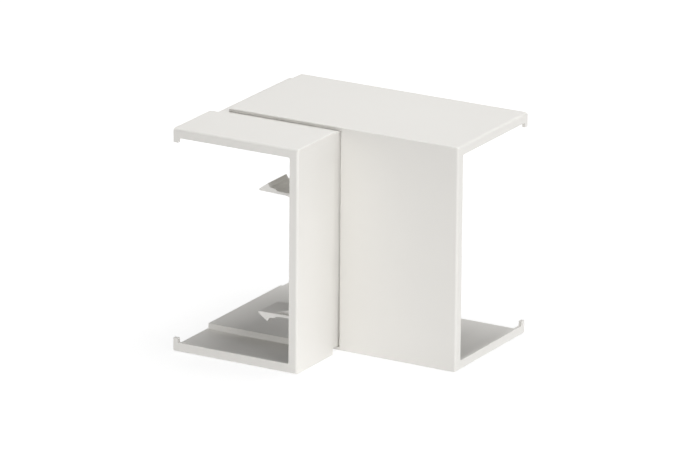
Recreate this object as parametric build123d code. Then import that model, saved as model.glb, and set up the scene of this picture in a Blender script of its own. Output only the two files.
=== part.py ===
"""Adjustable internal corner for surface trunking, in two mouldings.

The sliding collar closes the trunking on the left wall and carries the snap
hooks.  Its neck telescopes into the corner cover, which closes the corner and
the trunking on the back wall.

Model space while the pieces are made: the left wall is the plane X = 0, the
back wall is the plane Y = 0 and Z = 0 is mid height.  The left leg runs
towards -Y and the right leg runs towards +X.  The finished pieces are moved
so that the origin is at the middle of the underside.  All sizes are in
millimetres.
"""

import os

from build123d import *

# Trunking that slides into both ends
trunking_height = 110.0
trunking_depth = 68.6

# End rims of both pieces
rim_depth = 5.0
rim_thickness = 1.7
rim_round = 1.3
rim_corner_round = 0.9
edge_round = 0.5
lip_width = 3.0
lip_height = 2.5
lip_thickness = 1.6
lip_round = 0.4

# Inner corners between two walls
inner_round = 0.8

# Sliding collar
collar_gap = 8.0
collar_length = 37.0
collar_wall = 2.5
stop_thickness = 4.0
stop_overlap = 0.9

# Neck of the sliding collar, which telescopes into the corner cover
slide_clearance = 0.2
neck_wall_gap = 1.3
neck_end_gap = 3.1
neck_front_overlap = 12.0
lead_in_length = 8.5

# Snap hooks inside the collar
hook_half_spacing = 32.3
hook_setback = 7.3
hook_length = 18.6
hook_reach = 24.7
arm_thickness = 1.3
arm_splay = 0.5
tip_land = 0.6
tip_rise = 0.3
tip_bevel = 1.5
barb_length = 5.3
barb_height = 4.7
barb_back = 1.2
ridge_start_height = 2.65
ridge_length = 2.6
ridge_end_height = 2.35
ridge_taper = 1.6
gusset_thickness = 1.5
gusset_inset = 3.0
gusset_start = 8.8
gusset_height = 4.2
hook_root_round = 0.4

# Corner cover
cover_leg = 67.5
cover_wall = 1.8
cover_wall_gap = 6.0
cover_slit = 0.9

# Worked out from the sizes above
half_trunking = trunking_height / 2
half_height = half_trunking + rim_depth
depth = trunking_depth + rim_depth
neck_inset = cover_wall + slide_clearance
neck_half_height = half_height - neck_inset
neck_front = depth - neck_inset
bore_half_height = half_trunking - stop_overlap
bore_front = trunking_depth - stop_overlap
collar_rear = depth + collar_gap
collar_end = collar_rear + collar_length
socket_floor = collar_rear + stop_thickness
cover_end = depth + cover_leg
neck_front_end = depth - cover_wall - neck_front_overlap
cover_front_edge = neck_front + cover_slit

# Overrun of a cut or of a hidden joint between two solids, and edge matching
reach = 1.0
edge_tolerance = 0.001


def left_leg(start):
    """Section plane of the left leg: x is the distance from the left wall."""
    return Plane(origin=(0, -start, 0), x_dir=(1, 0, 0), z_dir=(0, -1, 0))


def right_leg(start):
    """Section plane of the right leg: x is the distance from the back wall."""
    return Plane(origin=(start, 0, 0), x_dir=(0, -1, 0), z_dir=(1, 0, 0))


def slab(near, far, low, high):
    """Rectangle from one wall distance to another and between two heights."""
    middle = Pos((near + far) / 2, (low + high) / 2)
    return middle * Rectangle(far - near, high - low)


def channel(near, front, half, inner_front, inner_half, corner):
    """U-shaped section, open to the wall, with round inner corners."""
    opening = slab(near - reach, inner_front, -inner_half, inner_half)
    opening = fillet(opening.vertices().group_by(Axis.X)[-1], corner)
    return slab(near, front, -half, half) - opening


def run(leg, section, start, end):
    """Section drawn out along a leg between two distances from the corner."""
    return extrude(leg(start) * section, end - start)


def end_rim(leg, near, end):
    """Inward flange round the end of a piece, with its lips at the wall side."""
    flange = channel(near, depth, half_height, trunking_depth, half_trunking, rim_corner_round)
    rim = run(leg, flange, end - rim_thickness, end)
    for side in (-1, 1):
        heights = sorted((side * (half_trunking - lip_height), side * (half_trunking + reach)))
        lip = slab(near, near + lip_width, *heights)
        tip = lip.vertices().group_by(Axis.Y)[0 if side > 0 else -1]
        rim += run(leg, fillet(tip, lip_round), end - lip_thickness, end)
    return rim


def lies_on(edge, plane):
    """True where an edge lies in a plane given as an axis letter and a value."""
    axis, value = plane
    box = edge.bounding_box()
    ends = (getattr(box.min, axis), getattr(box.max, axis))
    return all(abs(spot - value) < edge_tolerance for spot in ends)


def rounded(piece, meeting_planes, radius):
    """Round each edge where one of the given pairs of planes meets."""
    chosen = [
        edge
        for edge in piece.edges()
        if any(lies_on(edge, first) and lies_on(edge, second) for first, second in meeting_planes)
    ]
    return fillet(chosen, radius)


def round_outside(piece, end, front, free_edges):
    """Round an end rim, the long edges between two faces, and the free edges."""
    top, bottom = ("Z", half_height), ("Z", -half_height)
    piece = rounded(piece, [(end, top), (end, bottom), (end, front)], rim_round)
    piece = rounded(piece, [(front, top), (front, bottom)], edge_round)
    for edge in free_edges:
        piece = rounded(piece, [(edge, top), (edge, bottom), (edge, front)], edge_round)
    return piece


def hook(side):
    """Barbed snap hook and its two gussets, on the inside of the collar's front."""
    wall = depth - collar_wall
    root = depth - collar_wall / 2
    tip = wall - hook_reach
    barb = tip + barb_length
    notch = barb + barb_back
    ridge = notch + ridge_length
    arm = ridge + ridge_taper
    base = hook_half_spacing
    root_base = base - arm_splay
    outline = [
        (tip + tip_bevel, base),
        (tip, base + tip_rise),
        (tip, base + tip_rise + tip_land),
        (barb, base + barb_height),
        (notch, base + ridge_start_height),
        (ridge, base + ridge_end_height),
        (arm, base + arm_thickness),
        (wall, root_base + arm_thickness),
        (root, root_base + arm_thickness),
        (root, root_base),
        (wall, root_base),
    ]
    gusset_foot = tip + gusset_start
    gusset = [
        (gusset_foot, base + arm_thickness / 2),
        (gusset_foot, base),
        (wall, base - gusset_height),
        (root, base - gusset_height),
        (root, base),
    ]
    front = collar_end - hook_setback
    rear = front - hook_length
    profile = make_face(Polyline([(x, side * y) for x, y in outline], close=True))
    rib = make_face(Polyline([(x, side * y) for x, y in gusset], close=True))
    piece = run(left_leg, profile, rear, front)
    for start in (rear + gusset_inset, front - gusset_inset - gusset_thickness):
        piece += run(left_leg, rib, start, start + gusset_thickness)
    return piece


def sliding_collar():
    """Collar, neck and snap hooks in one moulding."""
    inner_front = depth - collar_wall
    inner_half = half_height - collar_wall
    collar_section = channel(0, depth, half_height, inner_front, inner_half, inner_round)
    collar = run(left_leg, collar_section, collar_rear, collar_end)
    collar += end_rim(left_leg, 0, collar_end)

    neck_section = channel(
        neck_wall_gap, neck_front, neck_half_height, bore_front, bore_half_height, inner_round
    )
    collar += run(left_leg, neck_section, neck_front_end, socket_floor)
    for side in (-1, 1):
        thick = sorted((side * bore_half_height, side * neck_half_height))
        thin = sorted((side * half_trunking, side * neck_half_height))
        plate = slab(neck_wall_gap, neck_front, *thick)
        lead_in = slab(neck_wall_gap, neck_front, *thin)
        collar += run(left_leg, plate, neck_end_gap + lead_in_length, neck_front_end + reach)
        collar += run(left_leg, lead_in, neck_end_gap, neck_end_gap + lead_in_length + reach)

    collar = round_outside(
        collar,
        end=("Y", -collar_end),
        front=("X", depth),
        free_edges=[("Y", -collar_rear)],
    )
    stop = ("Y", -socket_floor)
    inside = [("Z", inner_half), ("Z", -inner_half), ("X", inner_front)]
    collar = rounded(collar, [(stop, wall) for wall in inside], inner_round)
    for side in (-1, 1):
        neck_edge = [("X", neck_front), ("Z", side * neck_half_height)]
        collar = rounded(collar, [neck_edge], edge_round)

    for side in (-1, 1):
        collar += hook(side)
        root_height = hook_half_spacing - arm_splay + arm_thickness
        root = [("X", inner_front), ("Z", side * root_height)]
        collar = rounded(collar, [root], hook_root_round)
    return collar


def corner_cover():
    """Top, bottom and front of the corner in one moulding."""
    section = channel(
        0, depth, half_height, depth - cover_wall, half_height - cover_wall, inner_round
    )
    cover = run(right_leg, section, cover_front_edge, cover_end)
    for side in (-1, 1):
        heights = sorted((side * (half_height - cover_wall), side * half_height))
        plate = slab(0, depth, *heights)
        cover += run(right_leg, plate, cover_wall_gap, cover_front_edge + reach)
    cover += end_rim(right_leg, 0, cover_end)
    return round_outside(
        cover,
        end=("X", cover_end),
        front=("Y", -depth),
        free_edges=[("X", cover_wall_gap), ("X", cover_front_edge)],
    )


pieces = {"sliding_collar": sliding_collar(), "corner_cover": corner_cover()}

to_origin = Pos(-cover_end / 2, collar_end / 2, half_height)
os.makedirs("parts", exist_ok=True)
for name, piece in pieces.items():
    export_step(to_origin * piece, f"parts/{name}.step")
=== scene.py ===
"""Trunking internal corner in a pale studio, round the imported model.

Two white mouldings stand on the floor: the sliding collar on the left leg,
with its snap hooks and its neck, and the corner cover that the neck
telescopes into.  Everything is in metres, in the model's own frame: +X runs
out along the right leg, -Y along the left leg, and the undersides are at
height zero.  Angles are in degrees, and azimuths turn from -Y towards +X.
"""

import math

import bpy
from mathutils import Matrix, Vector

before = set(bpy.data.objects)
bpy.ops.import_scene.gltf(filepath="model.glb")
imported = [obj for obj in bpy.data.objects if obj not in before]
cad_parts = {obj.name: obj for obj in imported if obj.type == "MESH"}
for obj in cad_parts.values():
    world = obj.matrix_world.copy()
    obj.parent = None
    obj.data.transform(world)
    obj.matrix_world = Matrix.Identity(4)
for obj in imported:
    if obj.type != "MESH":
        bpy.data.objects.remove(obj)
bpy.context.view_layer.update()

MM = 0.001

# Camera: a long lens, a little above the object and to its right, with lens and sensor in millimetres
LENS_LENGTH = 344.75
SENSOR_WIDTH = 36.0
VIEW_AZIMUTH = 29.643
VIEW_ELEVATION = 17.659
VIEW_ROLL = 0.506
AIM_POINT = Vector((-0.74, 0.79, 63.28)) * MM
AIM_DISTANCE = 3449.3 * MM
CLIP_START = 0.1
CLIP_END = 100.0

# White plastic: its tints, a faint mottle that carries into its gloss, and a fine grain
COLLAR_WHITE = (0.832, 0.816, 0.781)
COVER_WHITE = (0.826, 0.810, 0.775)
PLASTIC_IOR = 1.49
MOTTLE_SCALE = 28.0
MOTTLE_DETAIL = 3.0
MOTTLE_LOW = 0.25
MOTTLE_HIGH = 0.75
MOTTLE_SHADE = 0.985
ROUGHNESS_LOW = 0.36
ROUGHNESS_HIGH = 0.46
GRAIN_SCALE = 3200.0
GRAIN_DETAIL = 2.0
GRAIN_STRENGTH = 0.25
GRAIN_DEPTH = 0.02 * MM

# Floor: one grey for the light it throws back, another under its own glow where it is seen
FLOOR_SIZE = 24.0
FLOOR_DROP = 0.1 * MM
FLOOR_GREY = 0.45
FLOOR_SEEN = 0.25
SHADOW_DEPTH = 0.16
GLOW_NEAR = 110.0 * MM
GLOW_FAR = 420.0 * MM

# Lamps
LAMP_AIM = Vector((0.0, 0.0, 60.0)) * MM
TABLE_SIZE = 1.6
TABLE_WATTS = 3.1


def direction(azimuth, elevation):
    """Unit vector from the object towards a viewpoint or a lamp."""
    turn, tilt = math.radians(azimuth), math.radians(elevation)
    return Vector((
        math.sin(turn) * math.cos(tilt),
        -math.cos(turn) * math.cos(tilt),
        math.sin(tilt),
    ))


def set_camera():
    """Camera at the photograph's angle, distance and framing."""
    data = bpy.data.cameras.new("camera")
    data.lens = LENS_LENGTH
    data.sensor_width = SENSOR_WIDTH
    data.clip_start = CLIP_START
    data.clip_end = CLIP_END
    camera = bpy.data.objects.new("camera", data)
    bpy.context.scene.collection.objects.link(camera)
    back = direction(VIEW_AZIMUTH, VIEW_ELEVATION)
    right = direction(VIEW_AZIMUTH + 90.0, 0.0)
    upright = Matrix((right, back.cross(right), back)).transposed()
    rolled = Matrix.Rotation(math.radians(VIEW_ROLL), 3, back) @ upright
    camera.matrix_world = Matrix.Translation(AIM_POINT + AIM_DISTANCE * back) @ rolled.to_4x4()
    bpy.context.scene.camera = camera


def node_tools(owner):
    """Nodes and links of a material or of the world."""
    owner.use_nodes = True
    return owner.node_tree.nodes, owner.node_tree.links


def grey(level):
    """Opaque grey colour."""
    return (level, level, level, 1.0)


def surface_noise(nodes, links, scale, detail):
    """Noise in the piece's own coordinates."""
    place = nodes.new("ShaderNodeTexCoord")
    noise = nodes.new("ShaderNodeTexNoise")
    noise.inputs["Scale"].default_value = scale
    noise.inputs["Detail"].default_value = detail
    links.new(place.outputs["Object"], noise.inputs["Vector"])
    return noise.outputs["Fac"]


def moulded_plastic(name, tint):
    """Satin white plastic with the fine spark-eroded grain of its mould."""
    material = bpy.data.materials.new(name)
    nodes, links = node_tools(material)
    shader = nodes["Principled BSDF"]
    shader.inputs["IOR"].default_value = PLASTIC_IOR

    mottle = surface_noise(nodes, links, MOTTLE_SCALE, MOTTLE_DETAIL)
    shade = nodes.new("ShaderNodeValToRGB")
    dark, pale = shade.color_ramp.elements
    dark.position = MOTTLE_LOW
    dark.color = (*[channel * MOTTLE_SHADE for channel in tint], 1.0)
    pale.position = MOTTLE_HIGH
    pale.color = (*tint, 1.0)
    links.new(mottle, shade.inputs["Fac"])
    links.new(shade.outputs["Color"], shader.inputs["Base Color"])

    gloss = nodes.new("ShaderNodeMapRange")
    gloss.inputs["To Min"].default_value = ROUGHNESS_LOW
    gloss.inputs["To Max"].default_value = ROUGHNESS_HIGH
    links.new(mottle, gloss.inputs["Value"])
    links.new(gloss.outputs["Result"], shader.inputs["Roughness"])

    grain = surface_noise(nodes, links, GRAIN_SCALE, GRAIN_DETAIL)
    bump = nodes.new("ShaderNodeBump")
    bump.inputs["Strength"].default_value = GRAIN_STRENGTH
    bump.inputs["Distance"].default_value = GRAIN_DEPTH
    links.new(grain, bump.inputs["Height"])
    links.new(bump.outputs["Normal"], shader.inputs["Normal"])
    return material


def dress(node, material):
    """Gives a piece of the model its finish."""
    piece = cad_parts[node]
    piece.data.materials.clear()
    piece.data.materials.append(material)


def sees_background(nodes, links):
    """1 for the camera, for reflections and for what is seen through things, else 0."""
    path = nodes.new("ShaderNodeLightPath")
    seen = path.outputs["Is Camera Ray"]
    for ray in ("Is Glossy Ray", "Is Transmission Ray"):
        either = nodes.new("ShaderNodeMath")
        either.operation = "MAXIMUM"
        links.new(seen, either.inputs[0])
        links.new(path.outputs[ray], either.inputs[1])
        seen = either.outputs["Value"]
    return seen


def white_floor():
    """Paint that glows where it is seen, with a little less glow round the object."""
    material = bpy.data.materials.new("floor_white")
    nodes, links = node_tools(material)
    nodes.remove(nodes["Principled BSDF"])
    seen = sees_background(nodes, links)

    paint = nodes.new("ShaderNodeMix")
    paint.data_type = "RGBA"
    paint.inputs["A"].default_value = grey(FLOOR_GREY)
    paint.inputs["B"].default_value = grey(FLOOR_SEEN)
    links.new(seen, paint.inputs["Factor"])
    matt = nodes.new("ShaderNodeBsdfDiffuse")
    links.new(paint.outputs["Result"], matt.inputs["Color"])

    # The glow gives way to lamplight near the object, where the shadow lies
    place = nodes.new("ShaderNodeTexCoord")
    distance = nodes.new("ShaderNodeVectorMath")
    distance.operation = "LENGTH"
    links.new(place.outputs["Object"], distance.inputs[0])
    fade = nodes.new("ShaderNodeMapRange")
    fade.interpolation_type = "SMOOTHSTEP"
    fade.inputs["From Min"].default_value = GLOW_NEAR
    fade.inputs["From Max"].default_value = GLOW_FAR
    fade.inputs["To Min"].default_value = 1.0 - SHADOW_DEPTH
    fade.inputs["To Max"].default_value = 1.0
    links.new(distance.outputs["Value"], fade.inputs["Value"])
    glow = nodes.new("ShaderNodeEmission")
    glow_level = nodes.new("ShaderNodeMath")
    glow_level.operation = "MULTIPLY"
    links.new(seen, glow_level.inputs[0])
    links.new(fade.outputs["Result"], glow_level.inputs[1])
    links.new(glow_level.outputs["Value"], glow.inputs["Strength"])

    both = nodes.new("ShaderNodeAddShader")
    links.new(matt.outputs["BSDF"], both.inputs[0])
    links.new(glow.outputs["Emission"], both.inputs[1])
    links.new(both.outputs["Shader"], nodes["Material Output"].inputs["Surface"])
    return material


def lay_floor():
    """Wide floor just under the object, which keeps its shadow."""
    bpy.ops.object.select_all(action="DESELECT")
    bpy.ops.mesh.primitive_plane_add(size=FLOOR_SIZE, location=(0.0, 0.0, -FLOOR_DROP))
    floor = bpy.context.object
    floor.name = "floor"
    bpy.ops.object.transform_apply(location=True, rotation=True, scale=True)
    floor.data.materials.append(white_floor())


def set_room():
    """White surroundings, which show and are mirrored but light nothing else."""
    world = bpy.data.worlds.new("studio")
    bpy.context.scene.world = world
    nodes, links = node_tools(world)
    background = nodes["Background"]
    background.inputs["Color"].default_value = grey(1.0)
    links.new(sees_background(nodes, links), background.inputs["Strength"])


def area_lamp(name, size, watts):
    """White lamp as wide and as high as its size says."""
    data = bpy.data.lights.new(name, "AREA")
    data.shape = "RECTANGLE"
    data.size, data.size_y = size
    data.energy = watts
    lamp = bpy.data.objects.new(name, data)
    bpy.context.scene.collection.objects.link(lamp)
    return lamp


def soft_box(name, azimuth, elevation, distance, size, watts):
    """Panel lamp that faces the middle of the object."""
    lamp = area_lamp(name, size, watts)
    back = direction(azimuth, elevation)
    face = (-back).to_track_quat("-Z", "Y").to_matrix().to_4x4()
    lamp.matrix_world = Matrix.Translation(LAMP_AIM + distance * back) @ face


def light_table():
    """Faint light that comes up from the table all round the object."""
    lamp = area_lamp("table_light", (TABLE_SIZE, TABLE_SIZE), TABLE_WATTS)
    lamp.rotation_euler = (math.pi, 0.0, 0.0)
    lamp.location = (0.0, 0.0, -FLOOR_DROP / 2)
    lamp.visible_camera = False


def set_lamps():
    """Boxes overhead, panels round the front and the right side, and the table."""
    soft_box("top_box", azimuth=180, elevation=80, distance=1.4, size=(0.70, 0.70), watts=7.3)
    soft_box("near_top", azimuth=0, elevation=90, distance=0.6, size=(0.36, 0.36), watts=1.4)
    soft_box("front_panel", azimuth=13, elevation=4, distance=1.5, size=(0.70, 0.20), watts=6.1)
    soft_box("near_front", azimuth=0, elevation=12, distance=0.3, size=(0.16, 0.12), watts=0.04)
    soft_box("front_right_panel", azimuth=60, elevation=9, distance=1.5, size=(0.70, 0.40), watts=5.4)
    soft_box("right_panel", azimuth=105, elevation=9, distance=1.5, size=(0.70, 0.40), watts=5.2)
    soft_box("right_high", azimuth=90, elevation=40, distance=1.5, size=(0.50, 0.50), watts=1.9)
    light_table()


set_camera()
lay_floor()
set_room()
set_lamps()
dress("sliding_collar", moulded_plastic("collar_plastic", COLLAR_WHITE))
dress("corner_cover", moulded_plastic("cover_plastic", COVER_WHITE))

bpy.context.scene.view_settings.view_transform = "Standard"
